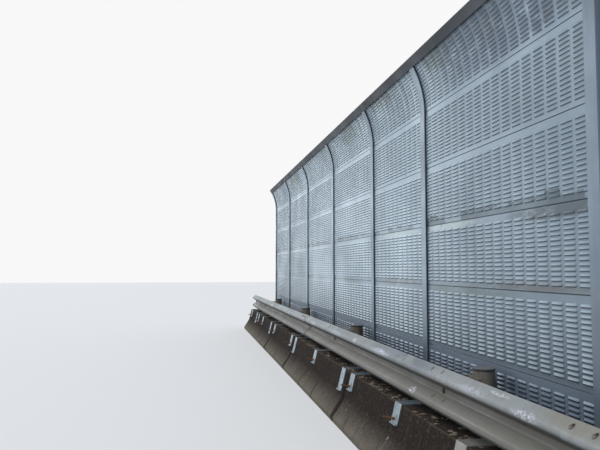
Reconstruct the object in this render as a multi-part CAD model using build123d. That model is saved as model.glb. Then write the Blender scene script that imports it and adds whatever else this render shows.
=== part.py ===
from build123d import *
import math
import os

# A length of road noise barrier in six bays, standing with its crash rail on a concrete parapet.
# Millimetres. X runs along the road, -Y faces the road, Z is up from the foot of the parapet.
# The origin is the middle of the parapet's underside.

# Bays, from the +X end to the -X end
bay_lengths = [2400, 1600, 2000, 2000, 2000, 2000]
end_overhang = 1000

# Concrete parapet: an upright toe, a flared foot, a steeper face, and a ledge behind for the posts
parapet_depth = 890
parapet_toe_height = 45
parapet_flare_run = 114
parapet_flare_top = 220
parapet_flare_radius = 80
parapet_face_run = 61
parapet_top_height = 465
parapet_edge_chamfer = 15
ledge_height = 300
ledge_behind_flange = 253
ledge_step_clearance = 3
ledge_step_run = 9
parapet_joint_gap = 12
parapet_joints = [2770, -475, -2812]

# Barrier posts, rolled H section bent forward at the top
post_depth = 100
post_width = 100
flange_thickness = 8
web_thickness = 6
bend_radius = 850
base_plate_width = 250
base_plate_depth = 230
base_plate_thickness = 20
gusset_height = 150
gusset_reach = 100
gusset_thickness = 8

# Louvred panels
panel_height = 500
flat_panel_count = 5
panel_thickness = 62
panel_to_flange = 10
panel_end_to_post_centre = 20
panel_bottom_to_ledge = 25
seam_clearance = 0.4
tongue_height = 12
tongue_width = 20
louvre_rows = 15
louvre_pitch = 28.3
louvre_depth = 9
louvre_root = 3
louvre_underside = 2
louvre_first_slot = 62
louvre_column_pitch = 136
louvre_width = 104
back_swage_depth = 6
back_swage_margin = 90

# Rubber seals
seal_width = 16
seal_clearance = 0.3
seal_inset = 3
bearing_width = 50
bearing_end_gap = 1

# Cap along the top
cap_thickness = 4
cap_front_flange = 76
cap_rear_flange = 50
cap_clearance = 0.4
cap_joint_gap = 3
cap_bays_per_length = 2

# Crash rail
rail_height = 310
rail_depth = 82
rail_thickness = 4
rail_above_parapet = 40
rail_to_flange = 342
rail_lip = 18
rail_crest_width = 34
rail_valley_width = 44
rail_bend = 16
rail_lap = 320
rail_lap_clearance = 0.4
rail_posts_per_length = 2
rail_first_lap = 490

# Crash rail posts: closed round tubes on base plates, with a hollow block out to the rail
rail_post_spacing = 3260
rail_post_count = 4
rail_post_shift = 20
rail_post_diameter = 140
rail_post_to_flange = 20
rail_post_below_rail_top = 2
rail_post_clearance = 0.3
rail_post_plate_width = 220
rail_post_plate_depth = 200
rail_post_plate_thickness = 14
rail_post_plate_setback = 4
block_width = 196
block_height = 190
block_wall = 6

# Galvanised saddle straps, bent over the parapet's road edge
strap_width = 140
strap_thickness = 7
strap_leg = 155
strap_long_leg = 215
strap_arm = 280
strap_lip = 14
strap_clearance = 0.3
# Each strap is set out along the row from a rail post, by its number, or in from an end of the parapet
strap_groups = [
    [("near_end", 550), (1, 490), (1, -630)],
    [(2, 1300), (2, 940), (2, -495), (3, 1320), (3, 950)],
    [(3, -935), (3, -1470), (4, 490)],
    [(4, -270), (4, -680), ("far_end", 400)],
]
long_straps = [(2, 940), (3, 1320), (3, -1470), (4, -680)]

# Places worked out from the sizes above
row_length = sum(bay_lengths)
half_length = row_length / 2 + end_overhang
flange_y = parapet_depth / 2 - ledge_behind_flange
parapet_front_y = -parapet_depth / 2
knee_y = parapet_front_y + parapet_flare_run
top_edge_y = knee_y + parapet_face_run
face_batter = math.atan2(parapet_face_run, parapet_top_height - parapet_flare_top)
rail_centre_height = parapet_top_height + rail_above_parapet + rail_height / 2
panel_front = flange_thickness + panel_to_flange
panel_back = panel_front + panel_thickness
panel_bottom = ledge_height + panel_bottom_to_ledge
bend_start = panel_bottom + flat_panel_count * panel_height
bend_angle = math.degrees(panel_height / (bend_radius + panel_front))
bend_centre_y = flange_y - bend_radius


def post_places():
    places = [row_length / 2]
    for length in bay_lengths:
        places.append(places[-1] - length)
    return places


def along_row(section, x_start, x_end):
    """A section drawn in Y and Z, run along the row."""
    return extrude(Plane.YZ.offset(x_start) * section, amount=x_end - x_start, dir=(1, 0, 0))


def on_bend(depth, angle):
    """The point at a depth behind the flange face and an angle round the bend."""
    radius = bend_radius + depth
    turn = math.radians(angle)
    return (bend_centre_y + radius * math.cos(turn), bend_start + radius * math.sin(turn))


def bend_band(front, back, start_angle, end_angle):
    """A curved strip of the section, between two depths behind the flange face."""
    middle = (start_angle + end_angle) / 2
    inner = ThreePointArc(on_bend(front, start_angle), on_bend(front, middle), on_bend(front, end_angle))
    outer = ThreePointArc(on_bend(back, end_angle), on_bend(back, middle), on_bend(back, start_angle))
    top = Line(on_bend(front, end_angle), on_bend(back, end_angle))
    foot = Line(on_bend(back, start_angle), on_bend(front, start_angle))
    return make_face(Curve() + [inner, top, outer, foot])


def full_band(front, back, bottom, end_angle):
    """An upright strip that goes on round the bend."""
    height = bend_start - bottom
    upright = Pos(flange_y + (front + back) / 2, bottom + height / 2) * Rectangle(back - front, height)
    return upright + bend_band(front, back, 0, end_angle)


def parapet_section():
    """Section with an upright toe, a flare rounded into the steeper face, and the ledge step behind."""
    back = parapet_depth / 2
    step_foot = flange_y - ledge_step_clearance
    outline = Polyline(
        (parapet_front_y, 0),
        (back, 0),
        (back, ledge_height),
        (step_foot, ledge_height),
        (step_foot - ledge_step_run, parapet_top_height),
        (top_edge_y, parapet_top_height),
        (knee_y, parapet_flare_top),
        (parapet_front_y, parapet_toe_height),
        close=True,
    )
    section = make_face(outline)
    knee = section.vertices().sort_by_distance((knee_y, parapet_flare_top, 0))[0]
    section = fillet(knee, parapet_flare_radius)
    edge = section.vertices().sort_by_distance((top_edge_y, parapet_top_height, 0))[0]
    return chamfer(edge, parapet_edge_chamfer)


def parapet_lengths():
    starts = [half_length] + [joint - parapet_joint_gap / 2 for joint in parapet_joints]
    ends = [joint + parapet_joint_gap / 2 for joint in parapet_joints] + [-half_length]
    return [along_row(parapet_section(), end, start) for start, end in zip(starts, ends)]


def barrier_post(x):
    plate_top = ledge_height + base_plate_thickness
    front = full_band(0, flange_thickness, plate_top, bend_angle)
    rear = full_band(post_depth - flange_thickness, post_depth, plate_top, bend_angle)
    web = full_band(flange_thickness, post_depth - flange_thickness, plate_top, bend_angle)
    post = along_row(front, x - post_width / 2, x + post_width / 2)
    post += along_row(rear, x - post_width / 2, x + post_width / 2)
    post += along_row(web, x - web_thickness / 2, x + web_thickness / 2)
    plate = Box(base_plate_width, base_plate_depth, base_plate_thickness)
    post += Pos(x, flange_y + base_plate_depth / 2, ledge_height + base_plate_thickness / 2) * plate
    edge = flange_y + post_depth
    gusset = make_face(Polyline(
        (edge, plate_top),
        (edge + gusset_reach, plate_top),
        (edge, plate_top + gusset_height),
        close=True,
    ))
    return post + along_row(gusset, x - gusset_thickness / 2, x + gusset_thickness / 2)


def louvre_slots():
    """Heights of the slots above a panel's lower edge."""
    top_slot = panel_height - louvre_first_slot
    return [top_slot - row * louvre_pitch for row in range(louvre_rows)]


def louvre_span(bay_length):
    """Length of the louvred field, in whole louvres."""
    clear = bay_length - post_width
    columns = int((clear - louvre_width) / louvre_column_pitch) + 1
    return (columns - 1) * louvre_column_pitch + louvre_width


def louvre_field(panel_point, row_ends):
    """The louvre rows as one section: under each slot the sheet leans out, and returns above it."""
    points = []
    for slot in row_ends[:-1]:
        points.append(panel_point(0, slot))
        points.append(panel_point(-louvre_depth, slot - louvre_underside))
    points.append(panel_point(0, row_ends[-1]))
    points += [panel_point(louvre_root, slot) for slot in reversed(row_ends)]
    return make_face(Polyline(*points, close=True))


def flat_point(depth, height):
    """A point of a flat panel, by depth behind its face and height above the ground."""
    return (flange_y + panel_front + depth, height)


def bent_point(depth, height):
    """A point of a top panel, by depth behind its face and height along the bend."""
    return on_bend(panel_front + depth, math.degrees(height / (bend_radius + panel_front)))


def row_ends(bottom):
    """Heights of the slots from the lowest up, and the upper end of the last louvre."""
    slots = sorted(bottom + slot for slot in louvre_slots())
    return slots + [slots[-1] + louvre_pitch]


def groove(bottom):
    width = tongue_width + 2 * seam_clearance
    height = tongue_height + seam_clearance
    middle = flange_y + panel_front + panel_thickness / 2
    return Pos(middle, bottom + height / 2) * Rectangle(width, height)


def flat_panel_section(bottom):
    height = panel_height - seam_clearance
    middle = flange_y + panel_front + panel_thickness / 2
    back = flange_y + panel_back
    section = Pos(middle, bottom + height / 2) * Rectangle(panel_thickness, height)
    section += Pos(middle, bottom + height + tongue_height / 2) * Rectangle(tongue_width, tongue_height)
    section -= groove(bottom)
    swage_low = bottom + back_swage_margin
    swage_high = bottom + panel_height - back_swage_margin
    return section - make_face(Polyline(
        (back, swage_low),
        (back - back_swage_depth, swage_low + back_swage_depth),
        (back - back_swage_depth, swage_high - back_swage_depth),
        (back, swage_high),
        close=True,
    ))


def louvred(section, field, x_start, x_end):
    """A panel run between two posts, with its louvred field in the middle of the bay."""
    middle = (x_start + x_end) / 2
    span = louvre_span(x_end - x_start + 2 * panel_end_to_post_centre)
    return along_row(section, x_start, x_end) + along_row(field, middle - span / 2, middle + span / 2)


def flat_panel(x_start, x_end, bottom):
    field = louvre_field(flat_point, row_ends(bottom))
    return louvred(flat_panel_section(bottom), field, x_start, x_end)


def top_panel(x_start, x_end):
    section = bend_band(panel_front, panel_back, 0, bend_angle) - groove(bend_start)
    field = louvre_field(bent_point, row_ends(0))
    return louvred(section, field, x_start, x_end)


def bay_seals(x_low, x_high):
    """Two side seals behind the post flanges and the bearing strip under the bay."""
    depth_front = flange_thickness + seal_clearance
    depth_back = panel_front - seal_clearance
    strip = full_band(depth_front, depth_back, panel_bottom, bend_angle)
    low_start = x_low + panel_end_to_post_centre + seal_inset
    high_end = x_high - panel_end_to_post_centre - seal_inset
    seals = [
        along_row(strip, low_start, low_start + seal_width),
        along_row(strip, high_end - seal_width, high_end),
    ]
    bearing_length = x_high - x_low - base_plate_width - 2 * bearing_end_gap
    bearing = Box(bearing_length, bearing_width, panel_bottom_to_ledge)
    centre_y = flange_y + panel_front + panel_thickness / 2
    centre_z = ledge_height + panel_bottom_to_ledge / 2
    seals.append(Pos((x_low + x_high) / 2, centre_y, centre_z) * bearing)
    return seals


def cap_section():
    front_angle = math.degrees(cap_front_flange / bend_radius)
    rear_angle = math.degrees(cap_rear_flange / (bend_radius + post_depth))
    lift = math.degrees(cap_clearance / bend_radius)
    end = bend_angle + lift
    crown = math.degrees(cap_thickness / bend_radius)
    front = bend_band(-cap_clearance - cap_thickness, -cap_clearance, end - front_angle, end)
    rear_in = post_depth + cap_clearance
    rear = bend_band(rear_in, rear_in + cap_thickness, end - rear_angle, end)
    top = bend_band(-cap_clearance - cap_thickness, rear_in + cap_thickness, end, end + crown)
    return front + rear + top


def cap_lengths():
    places = post_places()
    overlap = post_width / 2
    step = int(cap_bays_per_length)
    cuts = places[step:-1:step]
    starts = [places[0] + overlap] + [cut - cap_joint_gap / 2 for cut in cuts]
    ends = [cut + cap_joint_gap / 2 for cut in cuts] + [places[-1] - overlap]
    return [along_row(cap_section(), end, start) for start, end in zip(starts, ends)]


def rail_flank():
    """Height of one sloping flank of the rail."""
    return (rail_height / 2 - rail_valley_width / 2 - rail_crest_width) / 2


def rail_section(outward):
    """The two-wave rail section, its back on the posts, moved out where it laps another rail."""
    back = flange_y - rail_to_flange - outward
    bottom = back - rail_thickness
    crest = back - rail_depth
    half = rail_height / 2
    flank = rail_flank()
    valley = rail_valley_width / 2
    crest_in = valley + flank
    crest_out = crest_in + rail_crest_width
    points = []
    for side in (-1, 1):
        wave = [
            (back - rail_lip, side * half),
            (crest, side * crest_out),
            (crest, side * crest_in),
            (bottom, side * valley),
        ]
        points += wave if side < 0 else wave[::-1]
    line = FilletPolyline([(y, rail_centre_height + z) for y, z in points], radius=rail_bend)
    return make_face(Wire(line.edges()).offset_2d(rail_thickness, side=Side.RIGHT, closed=True).edges())


def rail_spans():
    """Ends and outward shift of each rail. Every other one is shifted, to lap over its neighbours."""
    laps = []
    lap = half_length - rail_first_lap
    while lap > rail_first_lap - half_length:
        laps.append(lap)
        lap -= int(rail_posts_per_length) * rail_post_spacing
    starts = [half_length] + [lap + rail_lap / 2 for lap in laps]
    ends = [lap - rail_lap / 2 for lap in laps] + [-half_length]
    flank_slope = math.atan2(rail_depth - rail_thickness, rail_flank())
    shift = (rail_thickness + rail_lap_clearance) / math.cos(flank_slope)
    return [(start, end, (1 - index % 2) * shift) for index, (start, end) in enumerate(zip(starts, ends))]


def crash_rails():
    return [along_row(rail_section(outward), end, start) for start, end, outward in rail_spans()]


def standing(section, bottom, height):
    """A section drawn in X and Y, raised from a height."""
    return extrude(Plane.XY.offset(bottom) * section, amount=height)


def rail_post(x):
    """A closed tube on a base plate, with an open-topped block in front of it that carries the rail."""
    radius = rail_post_diameter / 2
    middle = flange_y - rail_post_to_flange - radius
    top = rail_centre_height + rail_height / 2 - rail_post_below_rail_top
    foot = parapet_top_height + rail_post_plate_thickness
    post = standing(Pos(x, middle) * Circle(radius), foot, top - foot)
    outward = min(shift for start, end, shift in rail_spans() if end <= x <= start)
    block_front = flange_y - rail_to_flange - outward + rail_post_clearance
    reach = middle - radius + block_wall - block_front
    block = Rectangle(block_width, reach) - Rectangle(block_width - 2 * block_wall, reach - 2 * block_wall)
    block_foot = rail_centre_height - block_height / 2
    post += standing(Pos(x, block_front + reach / 2) * block, block_foot, block_height)
    plate_back = flange_y - ledge_step_clearance - ledge_step_run - rail_post_plate_setback
    plate = Rectangle(rail_post_plate_width, rail_post_plate_depth)
    plate = Pos(x, plate_back - rail_post_plate_depth / 2) * plate
    return post + standing(plate, parapet_top_height, rail_post_plate_thickness)


def rail_post_place(number):
    return rail_post_spacing * ((rail_post_count + 1) / 2 - number) + rail_post_shift


def rail_post_places():
    return [rail_post_place(number) for number in range(1, rail_post_count + 1)]


def strap_place(start, distance):
    if start == "near_end":
        return half_length - distance
    if start == "far_end":
        return distance - half_length
    return rail_post_place(start) + distance


def saddle_strap(start, distance):
    """A strap lying on the parapet's top, bent down its face, with a lip at the foot of the leg."""
    x = strap_place(start, distance)
    leg = strap_long_leg if (start, distance) in long_straps else strap_leg
    top = parapet_top_height + strap_clearance
    corner_y = top_edge_y - strap_clearance / math.cos(face_batter)
    down = (-math.sin(face_batter), -math.cos(face_batter))
    out = (-math.cos(face_batter), math.sin(face_batter))
    foot = (corner_y + leg * down[0], top + leg * down[1])
    inner = Polyline((corner_y + strap_arm, top), (corner_y, top), foot)
    section = make_face(Wire(inner.edges()).offset_2d(strap_thickness, side=Side.RIGHT, closed=True).edges())
    reach = strap_thickness + strap_lip
    lip = (foot[0] + reach * out[0], foot[1] + reach * out[1])
    rise = (-strap_thickness * down[0], -strap_thickness * down[1])
    section += make_face(Polyline(
        foot,
        lip,
        (lip[0] + rise[0], lip[1] + rise[1]),
        (foot[0] + rise[0], foot[1] + rise[1]),
        close=True,
    ))
    return along_row(section, x - strap_width / 2, x + strap_width / 2)


def save(name, solids):
    export_step(Compound(label=name, children=list(solids)), "parts/" + name + ".step")


def build():
    os.makedirs("parts", exist_ok=True)
    places = post_places()
    for index, parapet in enumerate(parapet_lengths(), 1):
        save(f"parapet_{index}", [parapet])
    for index, x in enumerate(places, 1):
        save(f"barrier_post_{index}", [barrier_post(x)])
    for index, (x_high, x_low) in enumerate(zip(places, places[1:]), 1):
        start = x_low + panel_end_to_post_centre
        end = x_high - panel_end_to_post_centre
        bottoms = [panel_bottom + row * panel_height for row in range(flat_panel_count)]
        save(f"bay_{index}_panels", [flat_panel(start, end, bottom) for bottom in bottoms])
        save(f"bay_{index}_top_panel", [top_panel(start, end)])
        save(f"bay_{index}_seals", bay_seals(x_low, x_high))
    for index, cap in enumerate(cap_lengths(), 1):
        save(f"top_cap_{index}", [cap])
    for index, rail in enumerate(crash_rails(), 1):
        save(f"crash_rail_{index}", [rail])
    for index, x in enumerate(rail_post_places(), 1):
        save(f"rail_post_{index}", [rail_post(x)])
    for index, group in enumerate(strap_groups, 1):
        save(f"saddle_straps_{index}", [saddle_strap(start, distance) for start, distance in group])


build()
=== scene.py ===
import bpy
import bmesh
import math
import random
from mathutils import Matrix, Vector


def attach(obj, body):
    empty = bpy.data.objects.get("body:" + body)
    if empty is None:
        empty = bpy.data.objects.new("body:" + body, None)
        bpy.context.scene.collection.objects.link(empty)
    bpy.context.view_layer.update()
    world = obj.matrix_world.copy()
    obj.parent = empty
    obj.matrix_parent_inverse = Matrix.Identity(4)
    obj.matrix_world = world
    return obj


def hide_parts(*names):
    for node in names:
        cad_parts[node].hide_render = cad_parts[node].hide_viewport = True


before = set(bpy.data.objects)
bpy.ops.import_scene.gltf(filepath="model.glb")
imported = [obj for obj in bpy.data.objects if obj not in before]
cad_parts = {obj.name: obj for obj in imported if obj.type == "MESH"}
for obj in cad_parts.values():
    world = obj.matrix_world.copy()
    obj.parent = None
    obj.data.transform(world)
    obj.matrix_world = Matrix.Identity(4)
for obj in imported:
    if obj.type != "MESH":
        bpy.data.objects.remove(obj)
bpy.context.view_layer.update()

# Sizes of the barrier in metres. X runs along the road, -Y faces it, Z is up
# FLANGE is the Y of the post faces that look at the road, and the other depths start from it
POSTS = [6.0, 3.6, 2.0, 0.0, -2.0, -4.0, -6.0]
POST_WIDTH = 0.1
FLANGE = 0.192
FLANGE_RADIUS = 0.85
BASE_PLATE_TOP = 0.32

# Panels and their louvres
FACE_BEHIND_FLANGE = 0.018
PANEL_THICKNESS = 0.062
PANEL_FACE = FLANGE + FACE_BEHIND_FLANGE
PANEL_BACK = PANEL_FACE + PANEL_THICKNESS
PANEL_BOTTOM = 0.325
PANEL_HEIGHT = 0.5
PANEL_FOLD = 0.003
FLAT_PANELS = 5
BEND_START = PANEL_BOTTOM + FLAT_PANELS * PANEL_HEIGHT
BEND_CENTRE = FLANGE - FLANGE_RADIUS
FACE_RADIUS = FLANGE_RADIUS + FACE_BEHIND_FLANGE
END_GAP = 0.02
SEAM_GAP = 0.0004
LOUVRE_ROWS = 15
LOUVRE_PITCH = 0.0283
LOUVRE_COLUMN_PITCH = 0.136
LOUVRE_WIDTH = 0.104
LOUVRE_HEIGHT = 0.0142
LOUVRE_DEPTH = 0.0076
LOUVRE_SHEET = 0.0009
TOP_SLOT_DOWN = 0.062
LOWEST_SLOT = PANEL_HEIGHT - TOP_SLOT_DOWN - (LOUVRE_ROWS - 1) * LOUVRE_PITCH

# Crash rail, with its depths measured out from its back, and its posts
RAIL_TO_FLANGE = 0.342
RAIL_BACK = FLANGE - RAIL_TO_FLANGE
RAIL_MIDDLE = 0.66
RAIL_DEPTH = 0.082
RAIL_SHEET = 0.004
RAIL_LIP = 0.018
RAIL_HALF_HEIGHT = 0.155
RAIL_HALF_VALLEY = 0.022
RAIL_FLANK = 0.0495
RAIL_LAP = 0.32
RAIL_LAP_SHIFT = 0.0082
RAIL_LAPS = [6.51, -0.01]
RAIL_SLOTS = [4.853, 1.655, -1.62, -4.89]
RAIL_POSTS = [4.91, 1.65, -1.61, -4.87]
RAIL_POST_RADIUS = 0.07
RAIL_POST_TO_FLANGE = 0.02
RAIL_POST_AXIS = FLANGE - RAIL_POST_TO_FLANGE - RAIL_POST_RADIUS
RAIL_POST_TOP = 0.813
RAIL_POST_PLATE = 0.014

# Parapet and its straps
PARAPET_TOP = 0.465
EDGE_TO_FLANGE = 0.462
PARAPET_EDGE = FLANGE - EDGE_TO_FLANGE
PARAPET_FACE_RUN = 0.061
PARAPET_FACE_RISE = 0.245
FACE_BATTER = math.atan2(PARAPET_FACE_RUN, PARAPET_FACE_RISE)
STRAPS = [6.45, 5.4, 4.28, 2.95, 2.59, 1.155, -0.29, -0.66, -2.545, -3.08, -4.38, -5.14, -5.55, -6.6]
LONG_STRAPS = [2.59, -0.29, -3.08, -5.55]
STRAP_FACE = 0.0073


# Camera
def look(yaw, pitch):
    flat = math.cos(pitch)
    return Vector((-math.cos(yaw) * flat, math.sin(yaw) * flat, math.sin(pitch)))


camera_data = bpy.data.cameras.new("camera")
camera_data.sensor_width = 36
camera_data.lens = 38.76
camera = bpy.data.objects.new("camera", camera_data)
bpy.context.scene.collection.objects.link(camera)
aim = look(math.radians(9.82), math.radians(3.84)).to_track_quat("-Z", "Y").to_matrix().to_4x4()
camera.matrix_world = Matrix.Translation((8.945, FLANGE - 2.015, 1.464)) @ aim
bpy.context.scene.camera = camera
bpy.context.scene.view_settings.view_transform = "Standard"


# Node groups
def new_group(name, inputs, outputs, kind="ShaderNodeTree"):
    """A node group. An input takes its kind from its value, or is empty and of the kind that is named."""
    kinds = {int: "Int", float: "Float", tuple: "Color" if kind == "ShaderNodeTree" else "Vector"}
    tree = bpy.data.node_groups.new(name, kind)
    for label, value in inputs.items():
        word = kinds.get(type(value), value)
        socket = tree.interface.new_socket(label, in_out="INPUT", socket_type="NodeSocket" + word)
        if not isinstance(value, str):
            socket.default_value = value
    for label, word in outputs.items():
        tree.interface.new_socket(label, in_out="OUTPUT", socket_type="NodeSocket" + word)
    return tree, tree.nodes.new("NodeGroupInput"), tree.nodes.new("NodeGroupOutput")


def math_node(tree, operation, *values):
    node = tree.nodes.new("ShaderNodeMath")
    node.operation = operation
    for index, value in enumerate(values):
        if isinstance(value, (int, float)):
            node.inputs[index].default_value = value
        else:
            tree.links.new(value, node.inputs[index])
    return node.outputs[0]


def vector_node(tree, operation, *values):
    node = tree.nodes.new("ShaderNodeVectorMath")
    node.operation = operation
    for index, value in enumerate(values):
        if isinstance(value, tuple):
            node.inputs[index].default_value = value
        elif operation == "SCALE" and index == 1:
            tree.links.new(value, node.inputs["Scale"])
        else:
            tree.links.new(value, node.inputs[index])
    return node.outputs[0]


def noise_node(tree, vector, scale, detail, roughness):
    node = tree.nodes.new("ShaderNodeTexNoise")
    node.inputs["Scale"].default_value = scale
    node.inputs["Detail"].default_value = detail
    node.inputs["Roughness"].default_value = roughness
    tree.links.new(vector, node.inputs["Vector"])
    return node.outputs["Fac"]


def spread(tree, value, low, high, to_low=0.0, to_high=1.0):
    node = tree.nodes.new("ShaderNodeMapRange")
    node.interpolation_type = "SMOOTHSTEP"
    for label, number in (("From Min", low), ("From Max", high), ("To Min", to_low), ("To Max", to_high)):
        if isinstance(number, (int, float)):
            node.inputs[label].default_value = number
        else:
            tree.links.new(number, node.inputs[label])
    tree.links.new(value, node.inputs["Value"])
    return node.outputs["Result"]


def object_place(tree):
    """The place of a point on the object, as a vector and as its three parts."""
    where = tree.nodes.new("ShaderNodeTexCoord").outputs["Object"]
    split = tree.nodes.new("ShaderNodeSeparateXYZ")
    tree.links.new(where, split.inputs[0])
    return where, split.outputs


def road_side(tree, behind):
    """1 on faces that look at the road, and the given value on those that look away from it."""
    normal = tree.nodes.new("ShaderNodeSeparateXYZ")
    tree.links.new(tree.nodes.new("ShaderNodeTexCoord").outputs["Normal"], normal.inputs[0])
    return spread(tree, normal.outputs["Y"], 0.2, 0.6, 1.0, behind)


def weathering_group():
    """Masks that every weathered surface uses: broad clouds, fine grain, drips that run down, and spots."""
    tree, given, out = new_group(
        "weathering",
        {"Scale": 1.0, "Drip Length": 8.0, "Seed": 0.0},
        {"Clouds": "Float", "Grain": "Float", "Drips": "Float", "Spots": "Float"},
    )
    where = tree.nodes.new("ShaderNodeTexCoord").outputs["Object"]
    scaled = vector_node(tree, "SCALE", where, given.outputs["Scale"])
    offset = tree.nodes.new("ShaderNodeCombineXYZ")
    for axis in range(3):
        tree.links.new(given.outputs["Seed"], offset.inputs[axis])
    moved = vector_node(tree, "ADD", scaled, offset.outputs[0])
    squeeze = tree.nodes.new("ShaderNodeCombineXYZ")
    squeeze.inputs["X"].default_value = 1
    squeeze.inputs["Y"].default_value = 0.4
    tree.links.new(math_node(tree, "DIVIDE", 1.0, given.outputs["Drip Length"]), squeeze.inputs["Z"])
    long_ways = vector_node(tree, "MULTIPLY", moved, squeeze.outputs[0])
    drips = noise_node(tree, long_ways, scale=16, detail=5, roughness=0.6)
    spots = noise_node(tree, moved, scale=34, detail=3, roughness=0.5)
    masks = {
        "Clouds": noise_node(tree, moved, scale=2.2, detail=6, roughness=0.6),
        "Grain": noise_node(tree, moved, scale=160, detail=3, roughness=0.6),
        "Drips": spread(tree, drips, 0.42, 0.72),
        "Spots": spread(tree, spots, 0.60, 0.70),
    }
    for label, mask in masks.items():
        tree.links.new(mask, out.inputs[label])
    return tree


def layer_group():
    """A second colour laid over a first one, through a mask."""
    tree, given, out = new_group(
        "dirt_layer",
        {"Clean": (0.5, 0.5, 0.5, 1), "Dirt": (0.1, 0.1, 0.1, 1), "Mask": 0.5, "Amount": 1.0},
        {"Colour": "Color"},
    )
    mix = tree.nodes.new("ShaderNodeMix")
    mix.data_type = "RGBA"
    mix.clamp_factor = True
    share = math_node(tree, "MULTIPLY", given.outputs["Mask"], given.outputs["Amount"])
    # Inputs 6 and 7 and output 2 are the mix node's sockets for colours
    for value, socket in ((share, 0), (given.outputs["Clean"], 6), (given.outputs["Dirt"], 7)):
        tree.links.new(value, mix.inputs[socket])
    tree.links.new(mix.outputs[2], out.inputs["Colour"])
    return tree


def relief_group():
    """A height turned into a normal for the shader."""
    tree, given, out = new_group(
        "relief", {"Height": 0.5, "Strength": 0.3, "Depth": 0.001}, {"Normal": "Vector"},
    )
    bump = tree.nodes.new("ShaderNodeBump")
    for label, socket in (("Height", "Height"), ("Strength", "Strength"), ("Depth", "Distance")):
        tree.links.new(given.outputs[label], bump.inputs[socket])
    tree.links.new(bump.outputs[0], out.inputs["Normal"])
    return tree


def height_group():
    """Fade goes from 0 to 1 between two heights. Band is 1 at the first one and 0 as far off as the other."""
    tree, given, out = new_group(
        "by_height", {"From": 0.0, "To": 1.0, "Behind": 1.0}, {"Fade": "Float", "Band": "Float"},
    )
    start = given.outputs["From"]
    end = given.outputs["To"]
    height = object_place(tree)[1]["Z"]
    side = road_side(tree, given.outputs["Behind"])
    fade = spread(tree, height, start, end)
    tree.links.new(math_node(tree, "MULTIPLY", fade, side), out.inputs["Fade"])
    away = math_node(tree, "ABSOLUTE", math_node(tree, "SUBTRACT", height, start))
    width = math_node(tree, "ABSOLUTE", math_node(tree, "SUBTRACT", end, start))
    band = spread(tree, math_node(tree, "DIVIDE", away, width), 0.0, 1.0, 1.0, 0.0)
    tree.links.new(math_node(tree, "MULTIPLY", band, side), out.inputs["Band"])
    return tree


def patch_group():
    """A patch round a point of the long side: an oval in X and Z, broken up by noise."""
    tree, given, out = new_group(
        "patch",
        {
            "Middle": 0.0, "Length": 0.1, "Height": 0.76, "Rise": 0.02,
            "Grain": 38.0, "Cover": 0.5, "Behind": 1.0,
        },
        {"Mask": "Float"},
    )
    get = given.outputs
    where, place = object_place(tree)
    along = math_node(tree, "DIVIDE", math_node(tree, "SUBTRACT", place["X"], get["Middle"]), get["Length"])
    up = math_node(tree, "DIVIDE", math_node(tree, "SUBTRACT", place["Z"], get["Height"]), get["Rise"])
    across = math_node(tree, "MULTIPLY", along, along)
    distance = math_node(tree, "ADD", across, math_node(tree, "MULTIPLY", up, up))
    near = spread(tree, distance, 0.1, 1.0, 1.0, 0.0)
    near = math_node(tree, "MULTIPLY", near, road_side(tree, get["Behind"]))
    stretched = vector_node(tree, "MULTIPLY", where, (1.0, 1.0, 1.8))
    scaled = vector_node(tree, "SCALE", stretched, get["Grain"])
    noise = noise_node(tree, scaled, scale=1.0, detail=4, roughness=0.62)
    low = math_node(tree, "SUBTRACT", 0.95, get["Cover"])
    broken = spread(tree, noise, low, math_node(tree, "ADD", low, 0.18))
    tree.links.new(math_node(tree, "MULTIPLY", near, broken), out.inputs["Mask"])
    return tree


def seam_group():
    """1 on the seams between flat panels, which lie at even steps of height, and 0 away from them."""
    tree, given, out = new_group(
        "seams", {"Bottom": 0.3, "Pitch": 0.5, "Width": 0.004}, {"Mask": "Float"},
    )
    get = given.outputs
    height = object_place(tree)[1]["Z"]
    half = math_node(tree, "MULTIPLY", get["Pitch"], 0.5)
    up = math_node(tree, "ADD", math_node(tree, "SUBTRACT", height, get["Bottom"]), half)
    away = math_node(tree, "SUBTRACT", math_node(tree, "FLOORED_MODULO", up, get["Pitch"]), half)
    share = math_node(tree, "DIVIDE", math_node(tree, "ABSOLUTE", away), get["Width"])
    tree.links.new(spread(tree, share, 0.6, 1.4, 1.0, 0.0), out.inputs["Mask"])
    return tree


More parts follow.
